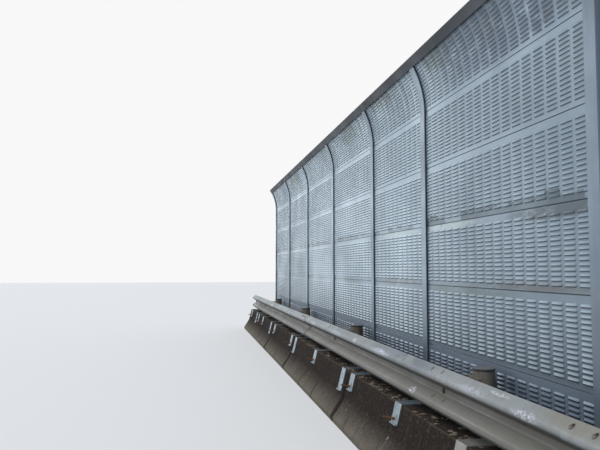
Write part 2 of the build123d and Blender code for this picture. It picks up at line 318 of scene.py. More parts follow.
def smudge_group():
    """Wiped blocks of dirt that stand on a seam, of uneven height, between two places along the row."""
    tree, given, out = new_group(
        "smudges",
        {"Start": 0.0, "End": 1.0, "Seam": 1.825, "Rise": 0.09, "Block": 0.15, "Share": 0.7},
        {"Mask": "Float"},
    )
    get = given.outputs
    place = object_place(tree)[1]
    up = math_node(tree, "SUBTRACT", place["Z"], get["Seam"])
    slanted = math_node(tree, "MULTIPLY_ADD", up, 0.4, place["X"])
    number = math_node(tree, "FLOOR", math_node(tree, "DIVIDE", slanted, get["Block"]))
    chance = tree.nodes.new("ShaderNodeTexWhiteNoise")
    chance.noise_dimensions = "1D"
    tree.links.new(number, chance.inputs["W"])
    parts = tree.nodes.new("ShaderNodeSeparateColor")
    tree.links.new(chance.outputs["Color"], parts.inputs[0])
    uneven = math_node(tree, "MULTIPLY_ADD", parts.outputs[0], 0.6, 0.4)
    top = math_node(tree, "MULTIPLY", uneven, get["Rise"])
    tests = [
        math_node(tree, "LESS_THAN", up, top),
        math_node(tree, "GREATER_THAN", up, 0.0),
        math_node(tree, "GREATER_THAN", place["X"], get["Start"]),
        math_node(tree, "LESS_THAN", place["X"], get["End"]),
        math_node(tree, "LESS_THAN", parts.outputs[1], get["Share"]),
        road_side(tree, 0.0),
    ]
    mask = math_node(tree, "MULTIPLY_ADD", parts.outputs[2], 0.3, 0.7)
    for test in tests:
        mask = math_node(tree, "MULTIPLY", mask, test)
    tree.links.new(mask, out.inputs["Mask"])
    return tree


WEATHERING = weathering_group()
PATCH = patch_group()
SMUDGES = smudge_group()
SEAMS = seam_group()
LAYER = layer_group()
RELIEF = relief_group()
BY_HEIGHT = height_group()


# Materials
class Paint:
    """One material. Every layer goes over the colour so far."""

    def __init__(self, name, base, roughness, metallic=0.0):
        self.material = bpy.data.materials.new(name)
        self.material.use_nodes = True
        self.tree = self.material.node_tree
        self.shader = self.tree.nodes["Principled BSDF"]
        self.shader.inputs["Base Color"].default_value = base
        self.shader.inputs["Metallic"].default_value = metallic
        self.shader.inputs["Roughness"].default_value = roughness
        self.colour = base

    def use(self, group, **values):
        node = self.tree.nodes.new("ShaderNodeGroup")
        node.node_tree = group
        for label, value in values.items():
            socket = node.inputs[label.replace("_", " ")]
            if isinstance(value, bpy.types.NodeSocket):
                self.tree.links.new(value, socket)
            else:
                socket.default_value = value
        return node.outputs

    def layer(self, dirt, mask, amount):
        self.colour = self.use(LAYER, Clean=self.colour, Dirt=dirt, Mask=mask, Amount=amount)["Colour"]
        self.tree.links.new(self.colour, self.shader.inputs["Base Color"])

    def times(self, first, second):
        return math_node(self.tree, "MULTIPLY", first, second)

    def rough(self, mask, low, high):
        self.tree.links.new(spread(self.tree, mask, 0.3, 0.7, low, high), self.shader.inputs["Roughness"])

    def bump(self, height, strength, depth):
        normal = self.use(RELIEF, Height=height, Strength=strength, Depth=depth)["Normal"]
        self.tree.links.new(normal, self.shader.inputs["Normal"])


def rgb(red, green, blue):
    """A colour from its screen values out of 255."""
    def linear(value):
        value /= 255
        return value / 12.92 if value <= 0.04045 else ((value + 0.055) / 1.055) ** 2.4
    return (linear(red), linear(green), linear(blue), 1)


def panel_paint(name, clean, dull, soot_and_shade, dirt, low_dirt, deep_rail_shade_tone):
    """Light blue-grey sheet, darker over two lengths from soot and painted shade, dirtier towards the ground
    and along some seams, with painted light and shade at the foot for the crash rail's shadow and painted
    shade along every seam.
    """
    paint = Paint(name, clean, 0.42, 0.5)
    wear = paint.use(WEATHERING, Scale=0.6, Drip_Length=10.0, Seed=3.0)
    paint.layer(dull, wear["Clouds"], 0.9)
    # Two lengths painted darker: partly soot, partly painted shade where the sheet shows less sheen of the
    # sky
    for middle, length, amount in SOOT_AND_SHADE_LENGTHS:
        soot_and_shade_mask = paint.use(PATCH, Middle=middle, Length=length, Height=1.1, Rise=2.3, Grain=0.8, Cover=1.6)
        paint.layer(soot_and_shade, soot_and_shade_mask["Mask"], amount)
    paint.layer(rgb(98, 104, 104), wear["Drips"], 0.14)
    low = paint.use(BY_HEIGHT, From=1.40, To=0.84)
    paint.layer(dirt, low["Fade"], 0.5)
    top = paint.use(BY_HEIGHT, From=2.75, To=3.15, Behind=0.5)
    paint.layer(rgb(92, 104, 112), paint.times(wear["Drips"], top["Fade"]), 0.55)
    # Painted light and shade for the crash rail's shadow, on the road side only: the given tones lift the
    # sheet and darken the louvres, the louvres most below the lowest panel's top row
    rail_shade_zone = paint.use(BY_HEIGHT, From=0.88, To=0.80, Behind=0.0)
    paint.layer(low_dirt, rail_shade_zone["Fade"], 0.85)
    deep_rail_shade_zone = paint.use(BY_HEIGHT, From=0.768, To=0.742, Behind=0.0)
    paint.layer(deep_rail_shade_tone, deep_rail_shade_zone["Fade"], 0.85)
    for middle, length, height, rise, amount, stain in PANEL_STAINS:
        patch = paint.use(
            PATCH, Middle=middle, Length=length, Height=height, Rise=rise, Grain=7.0, Cover=0.62, Behind=0.0,
        )
        paint.layer(stain, patch["Mask"], amount)
    for start, end, seam, rise, amount in SEAM_SMUDGES:
        smudges = paint.use(SMUDGES, Start=start, End=end, Seam=seam, Rise=rise, Block=0.15, Share=0.75)
        paint.layer(GRIME, smudges["Mask"], amount)
    paint.layer(rgb(110, 112, 100), wear["Spots"], 0.10)
    # A dark line along every seam between the panels: painted shade of the gap
    seams = paint.use(SEAMS, Bottom=PANEL_BOTTOM, Pitch=PANEL_HEIGHT, Width=0.0035)
    paint.layer(rgb(44, 57, 70), seams["Mask"], 0.72)
    paint.rough(wear["Clouds"], 0.36, 0.50)
    paint.bump(wear["Clouds"], 0.25, 0.004)
    return paint.material


def post_paint():
    paint = Paint("post_steel", rgb(132, 146, 158), 0.45, 0.5)
    wear = paint.use(WEATHERING, Scale=1.0, Drip_Length=14.0, Seed=11.0)
    paint.layer(rgb(112, 125, 137), wear["Clouds"], 0.9)
    near = paint.use(PATCH, Middle=6.0, Length=1.2, Height=1.8, Rise=3.4, Grain=0.8, Cover=1.6)
    paint.layer(rgb(104, 116, 128), near["Mask"], 0.3)
    paint.layer(rgb(96, 100, 102), wear["Drips"], 0.25)
    low = paint.use(BY_HEIGHT, From=0.9, To=0.4)
    paint.layer(rgb(88, 94, 102), low["Fade"], 0.5)
    paint.rough(wear["Clouds"], 0.38, 0.55)
    paint.bump(wear["Grain"], 0.15, 0.0008)
    return paint.material


def cap_paint():
    # The dark base colour is painted shade: the cap's end face looks down and out, away from the sky
    paint = Paint("cap_steel", rgb(73, 78, 84), 0.65, 0.0)
    wear = paint.use(WEATHERING, Scale=1.2, Drip_Length=3.0, Seed=21.0)
    paint.layer(rgb(57, 61, 67), wear["Clouds"], 0.9)
    paint.layer(rgb(102, 102, 98), wear["Spots"], 0.25)
    paint.rough(wear["Clouds"], 0.58, 0.78)
    paint.bump(wear["Grain"], 0.2, 0.0006)
    return paint.material


def rail_paint():
    """Weathered zinc: scuffed along the upper wave, with painted shade under the upper wave, dirt and painted
    shade in the valley and on the lower wave, and painted light in the lower crease and along the lower
    crest.
    """
    paint = Paint("rail_galvanised", rgb(142, 148, 150), 0.6, 0.25)
    wear = paint.use(WEATHERING, Scale=1.4, Drip_Length=2.0, Seed=31.0)
    fine = paint.use(WEATHERING, Scale=5.0, Drip_Length=3.0, Seed=37.0)
    paint.layer(rgb(120, 124, 125), wear["Clouds"], 0.9)
    paint.layer(rgb(112, 107, 94), wear["Drips"], 0.4)
    brown = paint.use(PATCH, Middle=6.5, Length=0.5, Height=0.80, Rise=0.05, Grain=5.0, Cover=0.7)
    paint.layer(rgb(124, 118, 104), brown["Mask"], 0.6)
    grey = paint.use(PATCH, Middle=4.1, Length=0.9, Height=0.78, Rise=0.08, Grain=6.0, Cover=0.62)
    paint.layer(rgb(98, 106, 114), grey["Mask"], 0.75)
    # Darker from the upper wave's crest down: dirt, and painted shade under the upper wave
    low = paint.use(BY_HEIGHT, From=0.74, To=0.70)
    paint.layer(rgb(99, 96, 87), low["Fade"], 0.8)
    # Painted light: one band lifts the shade in the valley's crease, another brightens the lower wave's crest
    crease = paint.use(BY_HEIGHT, From=0.636, To=0.612)
    paint.layer(rgb(136, 133, 124), crease["Band"], 0.28)
    crest = paint.use(BY_HEIGHT, From=0.586, To=0.612)
    paint.layer(rgb(148, 145, 138), crest["Band"], 0.18)
    paint.layer(rgb(98, 80, 62), paint.times(wear["Spots"], low["Fade"]), 0.35)
    for middle, length, height, rise, amount in RAIL_SCUFFS:
        scuff = paint.use(
            PATCH, Middle=middle, Length=length, Height=height, Rise=rise, Grain=48.0, Cover=0.53,
        )
        paint.layer(rgb(196, 198, 211), scuff["Mask"], amount)
    rubbed = paint.use(BY_HEIGHT, From=0.762, To=0.80)
    paint.layer(rgb(180, 184, 190), paint.times(rubbed["Band"], fine["Clouds"]), 0.2)
    # Painted shade under the upper wave and in the valley's upper part
    above = paint.use(BY_HEIGHT, From=0.755, To=0.728)
    below = paint.use(BY_HEIGHT, From=0.664, To=0.692)
    paint.layer(rgb(44, 44, 40), paint.times(above["Fade"], below["Fade"]), 0.85)
    paint.rough(wear["Clouds"], 0.52, 0.72)
    paint.bump(wear["Clouds"], 0.3, 0.006)
    return paint.material


def dull_paint():
    """Dull steel with a dark ring under the lid, a painted shadow of its rim."""
    paint = Paint("rail_post_steel", rgb(136, 131, 122), 0.75, 0.15)
    wear = paint.use(WEATHERING, Scale=2.2, Drip_Length=5.0, Seed=41.0)
    paint.layer(rgb(104, 98, 89), wear["Clouds"], 1.0)
    paint.layer(rgb(84, 66, 58), wear["Drips"], 0.5)
    paint.layer(rgb(118, 78, 54), wear["Spots"], 0.3)
    # Painted shadow of the lid's rim, in a narrow ring under it
    under = paint.use(BY_HEIGHT, From=0.802, To=0.788)
    over = paint.use(BY_HEIGHT, From=0.8055, To=0.804)
    paint.layer(rgb(42, 38, 34), paint.times(under["Band"], over["Fade"]), 0.8)
    paint.bump(wear["Grain"], 0.4, 0.0012)
    return paint.material


def strap_paint():
    paint = Paint("strap_galvanised", rgb(140, 154, 163), 0.42, 0.45)
    wear = paint.use(WEATHERING, Scale=4.0, Drip_Length=3.0, Seed=51.0)
    paint.layer(rgb(112, 124, 133), wear["Clouds"], 0.9)
    paint.layer(rgb(92, 86, 76), wear["Drips"], 0.45)
    paint.layer(rgb(116, 78, 50), wear["Spots"], 0.4)
    # Darker on the arm that lies on the parapet's top: painted shade under the crash rail
    top = paint.use(BY_HEIGHT, From=0.464, To=0.471)
    paint.layer(rgb(74, 80, 84), top["Fade"], 0.62)
    dusty = paint.use(PATCH, Middle=5.4, Length=0.2, Height=0.4, Rise=0.3, Grain=12.0, Cover=0.9)
    paint.layer(rgb(136, 132, 122), dusty["Mask"], 0.75)
    paint.rough(wear["Clouds"], 0.34, 0.55)
    paint.bump(wear["Grain"], 0.15, 0.0005)
    return paint.material


def concrete_paint():
    """Cast concrete: dark brown above from grime and painted shade under the crash rail, lighter towards the
    foot, with drips and pale scrapes.
    """
    paint = Paint("concrete", rgb(136, 130, 119), 0.95)
    paint.shader.inputs["Specular IOR Level"].default_value = 0.05
    wear = paint.use(WEATHERING, Scale=1.3, Drip_Length=9.0, Seed=61.0)
    broad = paint.use(WEATHERING, Scale=0.4, Drip_Length=4.0, Seed=65.0)
    fine = paint.use(WEATHERING, Scale=2.0, Drip_Length=12.0, Seed=67.0)
    paint.layer(rgb(96, 90, 81), wear["Clouds"], 1.0)
    # Dark brown above, fading out towards the foot: grime, and painted shade under the crash rail
    grime_and_shade = paint.use(BY_HEIGHT, From=-0.05, To=0.27)
    paint.layer(rgb(32, 25, 24), grime_and_shade["Fade"], 0.95)
    mottle = paint.use(WEATHERING, Scale=0.3, Seed=69.0)
    paint.layer(rgb(26, 22, 20), spread(paint.tree, mottle["Grain"], 0.52, 0.68), 0.45)
    paint.layer(rgb(128, 120, 106), spread(paint.tree, mottle["Grain"], 0.44, 0.30), 0.22)
    sparse = spread(paint.tree, broad["Drips"], 0.35, 0.9)
    paint.layer(rgb(34, 28, 26), sparse, 0.55)
    paint.layer(rgb(46, 40, 36), fine["Clouds"], 0.25)
    streaks = spread(paint.tree, fine["Drips"], 0.6, 1.0)
    paint.layer(rgb(118, 110, 98), paint.times(streaks, broad["Clouds"]), 0.35)
    paint.layer(rgb(112, 104, 92), wear["Spots"], 0.2)
    for middle, length, height in DRIP_MARKS:
        mark = paint.use(PATCH, Middle=middle, Length=length, Height=height, Rise=0.12, Grain=22.0, Cover=0.5)
        paint.layer(rgb(140, 132, 118), mark["Mask"], 0.6)
    for middle in JOINT_STAINS:
        stain = paint.use(PATCH, Middle=middle, Length=0.09, Height=0.14, Rise=0.42, Grain=9.0, Cover=0.66)
        paint.layer(rgb(26, 22, 20), stain["Mask"], 0.85)
    edge = paint.use(BY_HEIGHT, From=0.459, To=0.452)
    paint.layer(rgb(104, 95, 80), paint.times(edge["Band"], fine["Clouds"]), 0.5)
    foot = paint.use(BY_HEIGHT, From=0.05, To=0.02)
    paint.layer(rgb(46, 43, 40), foot["Fade"], 0.15)
    paint.bump(fine["Grain"], 0.6, 0.003)
    return paint.material


def dirt_paint():
    paint = Paint("loose_dirt", rgb(58, 51, 45), 0.95)
    paint.shader.inputs["Specular IOR Level"].default_value = 0.15
    wear = paint.use(WEATHERING, Scale=4.0, Seed=91.0)
    dusty = spread(paint.tree, wear["Clouds"], 0.42, 0.62)
    paint.layer(rgb(122, 113, 99), dusty, 1.0)
    paint.bump(wear["Grain"], 0.6, 0.002)
    return paint.material


def two_tone_paint(
    name, base, second, share, scale, seed, roughness=0.9, metallic=0.0, bump=None, spots=None,
):
    """A base with a second tone over it in clouds. The bump is a strength and a depth, the spots a colour."""
    paint = Paint(name, base, roughness, metallic)
    wear = paint.use(WEATHERING, Scale=scale, Seed=seed)
    paint.layer(second, wear["Clouds"], share)
    if spots:
        paint.layer(spots, wear["Spots"], 0.4)
    if bump:
        paint.bump(wear["Grain"], *bump)
    return paint.material


# Dirt, wear and painted shade by place: X is along the row, and heights are above the foot of the parapet
GRIME = rgb(78, 91, 99)
PALE = rgb(168, 180, 176)
ALGAE = rgb(92, 102, 84)
BROWN = rgb(98, 99, 98)
SOOT = rgb(80, 90, 95)
HAZE = rgb(104, 115, 130)
# X, length and height of each mark
DRIP_MARKS = [
    (4.22, 0.02, 0.2), (3.62, 0.016, 0.12), (3.05, 0.014, 0.12), (2.2, 0.012, 0.1), (1.05, 0.02, 0.12),
]
JOINT_STAINS = [2.765, -0.48, -2.82]
# X, length and amount
SOOT_AND_SHADE_LENGTHS = [(5.1, 2.3, 0.92), (-4.4, 3.0, 0.85)]
# X, length, height, rise, amount and colour
PANEL_STAINS = [
    (5.65, 0.75, 1.79, 0.06, 1.0, SOOT), (4.15, 0.6, 1.80, 0.035, 0.6, PALE),
    (4.4, 0.9, 1.30, 0.05, 0.5, ALGAE), (5.3, 0.9, 1.35, 0.04, 0.75, BROWN),
    (2.9, 0.7, 1.80, 0.035, 0.5, PALE), (2.8, 0.8, 1.34, 0.06, 0.5, BROWN),
    (0.9, 0.9, 1.85, 0.05, 0.45, GRIME), (-4.0, 1.2, 1.85, 0.05, 0.5, GRIME),
    (1.0, 0.6, 1.31, 0.05, 0.4, ALGAE), (5.54, 0.15, 2.94, 0.10, 0.9, GRIME),
    (5.0, 0.35, 3.12, 0.14, 0.7, ALGAE), (4.13, 0.4, 3.2, 0.16, 0.75, ALGAE),
    (5.1, 1.4, 3.12, 0.38, 0.85, HAZE), (1.1, 0.5, 3.15, 0.15, 0.5, ALGAE),
    (2.6, 0.5, 3.2, 0.12, 0.5, ALGAE), (-3.1, 0.6, 3.1, 0.15, 0.5, ALGAE),
    (-5.2, 0.4, 0.86, 0.06, 0.5, GRIME),
]
# Start and end, seam, rise and amount
SEAM_SMUDGES = [
    (3.62, 5.9, 1.8255, 0.095, 0.95), (2.05, 3.3, 1.8255, 0.06, 0.6), (0.2, 1.9, 1.8255, 0.06, 0.5),
    (-5.97, -0.2, 1.8255, 0.06, 0.75),
]
# X, length, height, rise and amount
RAIL_SCUFFS = [
    (6.03, 0.16, 0.757, 0.028, 0.9), (5.42, 0.20, 0.765, 0.03, 0.5), (5.70, 0.14, 0.798, 0.009, 0.8),
    (4.9, 0.2, 0.775, 0.03, 0.12), (3.63, 0.28, 0.762, 0.03, 0.9), (2.81, 0.08, 0.765, 0.03, 0.9),
    (4.43, 0.07, 0.592, 0.026, 1.0), (2.0, 0.3, 0.76, 0.03, 0.5), (0.7, 0.2, 0.76, 0.03, 0.8),
    (-1.3, 0.12, 0.765, 0.03, 0.8), (-3.4, 0.22, 0.758, 0.03, 0.9),
]

# The sheet's tones at the foot are painted light that lifts the crash rail's shadow
PANEL = panel_paint(
    "panel_sheet", clean=rgb(145, 161, 172), dull=rgb(128, 144, 156), soot_and_shade=rgb(116, 130, 142),
    dirt=rgb(98, 108, 118), low_dirt=rgb(132, 145, 162), deep_rail_shade_tone=rgb(132, 145, 162),
)
# The louvres are painted lighter than the sheet round them, as painted light where they face up to the sky,
# and darker at the foot, as painted shade under the crash rail
LOUVRE = panel_paint(
    "panel_louvres", clean=rgb(170, 186, 195), dull=rgb(152, 168, 178), soot_and_shade=rgb(127, 142, 153),
    dirt=rgb(106, 117, 127), low_dirt=rgb(104, 118, 134), deep_rail_shade_tone=rgb(72, 85, 101),
)
# A dark sheet in each slot and just under its lip: painted shade
SLOT_SHADE = two_tone_paint("louvre_mouth", rgb(92, 104, 115), rgb(112, 124, 135), 0.7, scale=1.0, seed=9.0)
POST = post_paint()
SEAL = two_tone_paint(
    "seal_rubber", rgb(30, 33, 38), rgb(56, 58, 58), 0.6, scale=2.0, seed=5.0,
    roughness=0.85, bump=(0.2, 0.0005),
)
CAP = cap_paint()
RAIL = rail_paint()
DULL = dull_paint()
STRAP = strap_paint()
CONCRETE = concrete_paint()
RUST = two_tone_paint(
    "rusty_fixings", rgb(122, 82, 52), rgb(78, 48, 34), 1.0, scale=9.0, seed=71.0,
    metallic=0.1, bump=(0.5, 0.0008),
)
ZINC = two_tone_paint(
    "zinc_fixings", rgb(168, 168, 160), rgb(132, 130, 120), 1.0, scale=9.0, seed=73.0,
    roughness=0.45, metallic=0.7, spots=rgb(112, 84, 60),
)
# Dark ovals for slots and open holes: painted shade of the space seen through them
HOLE_SHADE = two_tone_paint(
    "dark_holes", rgb(34, 30, 27), rgb(52, 46, 40), 0.8, scale=5.0, seed=79.0, roughness=0.95,
)
LID = two_tone_paint(
    "post_lid", rgb(104, 108, 112), rgb(84, 86, 86), 1.0, scale=5.0, seed=83.0,
    roughness=0.7, metallic=0.1, spots=rgb(92, 76, 62),
)
# Valley bolt heads painted dark: dirt, and painted shade of the valley under the upper wave
DIRTY_AND_SHADED = two_tone_paint(
    "dirty_bolts", rgb(70, 62, 54), rgb(52, 44, 38), 1.0, scale=9.0, seed=75.0,
    roughness=0.8, metallic=0.2, bump=(0.5, 0.0008),
)
DIRT = dirt_paint()

# The solids that show as they are, by a word in their names
NODE_PAINTS = [
    ("parapet", CONCRETE, "concrete"),
    ("barrier_post", POST, "post_steel"),
    ("seals", SEAL, "seal_rubber"),
    ("top_cap", CAP, "cap_steel"),
    ("crash_rail", RAIL, "rail_galvanised"),
    ("rail_post", DULL, "rail_post_steel"),
    ("saddle_straps", STRAP, "strap_galvanised"),
]
for name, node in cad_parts.items():
    for word, paint, slot in NODE_PAINTS:
        if word in name:
            node.data.materials.clear()
            node.data.materials.append(paint)


# Meshes
def new_object(name, points, faces, material, smooth=False):
    mesh = bpy.data.meshes.new(name)
    mesh.from_pydata(points, [], faces)
    mesh.materials.append(material)
    if smooth:
        mesh.shade_smooth()
    made = bpy.data.objects.new(name, mesh)
    bpy.context.scene.collection.objects.link(made)
    return made


def run_profile(profile, x_start, x_end, points, faces):
    """Adds a closed outline in Y and Z, run along the row, to the lists of points and faces."""
    first = len(points)
    count = len(profile)
    points += [(x_start, y, z) for y, z in profile] + [(x_end, y, z) for y, z in profile]
    for index in range(count):
        following = (index + 1) % count
        faces.append((first + index, first + following, first + count + following, first + count + index))
    faces.append(tuple(range(first + count - 1, first - 1, -1)))
    faces.append(tuple(range(first + count, first + 2 * count)))


def face_outwards(made):
    work = bmesh.new()
    work.from_mesh(made.data)
    bmesh.ops.recalc_face_normals(work, faces=work.faces)
    work.to_mesh(made.data)
    work.free()


def plain(host, name):
    """The result of the object's modifiers as a plain mesh object. The host is removed."""
    shown = host.evaluated_get(bpy.context.evaluated_depsgraph_get())
    mesh = bpy.data.meshes.new_from_object(shown)
    made = bpy.data.objects.new(name, mesh)
    bpy.context.scene.collection.objects.link(made)
    bpy.data.objects.remove(host)
    return made


def finish_piece(piece, slot, *nodes):
    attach(piece, "root")
    if nodes:
        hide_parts(*nodes)


# Geometry Nodes
def add_node(tree, kind, **links):
    node = tree.nodes.new(kind)
    for label, value in links.items():
        socket = node.inputs[label.replace("_", " ")]
        if isinstance(value, bpy.types.NodeSocket):
            tree.links.new(value, socket)
        else:
            socket.default_value = value
    return node


def set_inputs(host, tree, **values):
    """Adds the tree to the object as a modifier and sets its named inputs."""
    modifier = host.modifiers.new(tree.name, "NODES")
    modifier.node_group = tree
    for item in tree.interface.items_tree:
        key = item.name.replace(" ", "_")
        if item.in_out == "INPUT" and key in values:
            modifier[item.identifier] = values[key]


def louvre_tree():
    """Rows and columns of pressed hoods over the panels of a bay, following the bend at the top."""
    inputs = {
        "Geometry": "Geometry", "Columns": 14, "Rows": 15, "Panels": 6, "Column Pitch": 0.136,
        "Row Pitch": 0.0283, "Panel Height": 0.5, "Lowest Slot": 0.04, "Bottom": 0.3, "Bend Height": 2.5,
        "Bend Radius": 0.87, "Face": 0.2, "Middle": 0.0, "Unevenness": 0.1, "Seed": 1, "Hood": "Object",
        "Mouth": "Object", "Sheet Material": "Material", "Mouth Material": "Material",
    }
    tree, given, out = new_group("louvre_field", inputs, {"Geometry": "Geometry"}, "GeometryNodeTree")
    get = given.outputs
    index = tree.nodes.new("GeometryNodeInputIndex").outputs[0]
    per_panel = math_node(tree, "MULTIPLY", get["Columns"], get["Rows"])
    total = math_node(tree, "MULTIPLY", per_panel, get["Panels"])
    column = math_node(tree, "FLOORED_MODULO", index, get["Columns"])
    lines = math_node(tree, "DIVIDE", math_node(tree, "ADD", index, 0.5), get["Columns"])
    line = math_node(tree, "FLOOR", lines)
    row = math_node(tree, "FLOORED_MODULO", line, get["Rows"])
    panels = math_node(tree, "DIVIDE", math_node(tree, "ADD", line, 0.5), get["Rows"])
    panel = math_node(tree, "FLOOR", panels)
    up = math_node(tree, "MULTIPLY_ADD", row, get["Row Pitch"], get["Lowest Slot"])
    up = math_node(tree, "MULTIPLY_ADD", panel, get["Panel Height"], up)
    over = math_node(tree, "MAXIMUM", math_node(tree, "SUBTRACT", up, get["Bend Height"]), 0.0)
    turn = math_node(tree, "DIVIDE", over, get["Bend Radius"])
    straight = math_node(tree, "MINIMUM", up, get["Bend Height"])
    half = math_node(tree, "MULTIPLY", math_node(tree, "SUBTRACT", get["Columns"], 1.0), 0.5)
    across = math_node(tree, "SUBTRACT", column, half)
    x = math_node(tree, "MULTIPLY_ADD", across, get["Column Pitch"], get["Middle"])
    lean = math_node(tree, "SUBTRACT", math_node(tree, "COSINE", turn), 1.0)
    y = math_node(tree, "MULTIPLY_ADD", lean, get["Bend Radius"], get["Face"])
    rise = math_node(tree, "ADD", get["Bottom"], straight)
    z = math_node(tree, "MULTIPLY_ADD", math_node(tree, "SINE", turn), get["Bend Radius"], rise)
    place = add_node(tree, "ShaderNodeCombineXYZ", X=x, Y=y, Z=z)
    points = add_node(tree, "GeometryNodePoints", Count=total, Position=place.outputs[0])
    angle = add_node(tree, "ShaderNodeCombineXYZ", X=turn)
    rotation = add_node(tree, "FunctionNodeEulerToRotation", Euler=angle.outputs[0])
    chance = add_node(tree, "FunctionNodeRandomValue", Seed=get["Seed"])
    low = math_node(tree, "SUBTRACT", 1.0, get["Unevenness"])
    depth = math_node(tree, "MULTIPLY_ADD", chance.outputs["Value"], get["Unevenness"], low)
    size = add_node(tree, "ShaderNodeCombineXYZ", X=1.0, Y=depth, Z=1.0)
    joined = tree.nodes.new("GeometryNodeJoinGeometry")
    tree.links.new(get["Geometry"], joined.inputs[0])
    for thing, material in (("Hood", "Sheet Material"), ("Mouth", "Mouth Material")):
        info = add_node(tree, "GeometryNodeObjectInfo", Object=get[thing])
        copies = add_node(
            tree, "GeometryNodeInstanceOnPoints", Points=points.outputs[0], Instance=info.outputs["Geometry"],
            Rotation=rotation.outputs[0], Scale=size.outputs[0],
        )
        real = add_node(tree, "GeometryNodeRealizeInstances", Geometry=copies.outputs[0])
        painted = add_node(tree, "GeometryNodeSetMaterial", Geometry=real.outputs[0], Material=get[material])
        tree.links.new(painted.outputs[0], joined.inputs[0])
    tree.links.new(joined.outputs[0], out.inputs[0])
    return tree


def copies_tree():
    """One item on every point of the host, turned as given and spun by chance about its own axis."""
    inputs = {
        "Geometry": "Geometry", "Item": "Object", "Turn": (0, 0, 0), "Spin": 0.0, "Seed": 1,
        "Material": "Material",
    }
    tree, given, out = new_group("copies_on_points", inputs, {"Geometry": "Geometry"}, "GeometryNodeTree")
    get = given.outputs
    info = add_node(tree, "GeometryNodeObjectInfo", Object=get["Item"])
    chance = add_node(tree, "FunctionNodeRandomValue", Seed=get["Seed"])
    spin = math_node(tree, "MULTIPLY", chance.outputs["Value"], get["Spin"])
    own = add_node(tree, "ShaderNodeCombineXYZ", Z=spin)
    own = add_node(tree, "FunctionNodeEulerToRotation", Euler=own.outputs[0])
    turn = add_node(tree, "FunctionNodeEulerToRotation", Euler=get["Turn"])
    both = add_node(tree, "FunctionNodeRotateRotation", Rotation=turn.outputs[0], Rotate_By=own.outputs[0])
    both.rotation_space = "LOCAL"
    copies = add_node(
        tree, "GeometryNodeInstanceOnPoints", Points=get["Geometry"], Instance=info.outputs["Geometry"],
        Rotation=both.outputs[0],
    )
    real = add_node(tree, "GeometryNodeRealizeInstances", Geometry=copies.outputs[0])
    painted = add_node(tree, "GeometryNodeSetMaterial", Geometry=real.outputs[0], Material=get["Material"])
    tree.links.new(painted.outputs[0], out.inputs[0])
    return tree


LOUVRES = louvre_tree()
COPIES = copies_tree()


# Louvred panels
def hood_meshes():
    """A pressed hood over its slot, 60 triangles in all: the shell with its lip, and the dark mouth, a sheet
    of painted shade in the open slot and under the lip.
    """
    half = LOUVRE_WIDTH / 2
    side = [(half, 0.0), (half - 0.003, 0.75), (half - 0.007, 1.0)]
    across = [(-x, share) for x, share in side] + side[::-1]
    upward = [(-0.0015, 1.0), (0.0015, 0.95), (0.0055, 0.70), (0.010, 0.33), (LOUVRE_HEIGHT, 0.0)]
    points = [(x, -LOUVRE_DEPTH * share * out, z) for z, out in upward for x, share in across]
    count = len(across)
    faces = []
    for row in range(len(upward) - 1):
        for column in range(count - 1):
            corner = row * count + column
            faces.append((corner, corner + 1, corner + count + 1, corner + count))
    lip = len(points)
    inner = [(x, -(LOUVRE_DEPTH - LOUVRE_SHEET) * share, -0.001) for x, share in across]
    for column in range(count - 1):
        faces.append((column + 1, column, lip + column, lip + column + 1))
    shell = new_object("hood", points + inner, faces, LOUVRE)
    for polygon in shell.data.polygons:
        polygon.use_smooth = all(vertex < lip for vertex in polygon.vertices)
    foot = [(x * 0.97, -0.0004, -0.0064) for x, share in across]
    faces = [(column + 1, column, count + column, count + column + 1) for column in range(count - 1)]
    return shell, new_object("mouth", inner + foot, faces, SLOT_SHADE)


def flat_outline(bottom):
    """Section of a flat panel: folded edges at the front, a wide shallow pan in the back sheet."""
    top = bottom + PANEL_HEIGHT - SEAM_GAP
    bevel = 0.001
    pan_edge = 0.09
    pan_depth = 0.006
    return [
        (PANEL_FACE, bottom + PANEL_FOLD),
        (PANEL_FACE + PANEL_FOLD, bottom),
        (PANEL_BACK - bevel, bottom),
        (PANEL_BACK, bottom + bevel),
        (PANEL_BACK, bottom + pan_edge),
        (PANEL_BACK - pan_depth, bottom + pan_edge + pan_depth),
        (PANEL_BACK - pan_depth, top - pan_edge - pan_depth),
        (PANEL_BACK, top - pan_edge),
        (PANEL_BACK, top - bevel),
        (PANEL_BACK - bevel, top),
        (PANEL_FACE + PANEL_FOLD, top),
        (PANEL_FACE, top - PANEL_FOLD),
    ]


def on_bend(depth, angle):
    """A point by its depth behind the panel's face and its angle round the bend."""
    radius = FACE_RADIUS + depth
    return (BEND_CENTRE + radius * math.cos(angle), BEND_START + radius * math.sin(angle))


def bent_outline():
    """Section of a top panel, which follows the bend of the posts."""
    steps = 20
    end = PANEL_HEIGHT / FACE_RADIUS
    edge = PANEL_FOLD / FACE_RADIUS
    front = [on_bend(0, edge + (end - edge) * step / steps) for step in range(steps + 1)]
    back = [on_bend(PANEL_THICKNESS, end * step / steps) for step in range(steps, -1, -1)]
    return front + back + [on_bend(PANEL_FOLD, 0)]


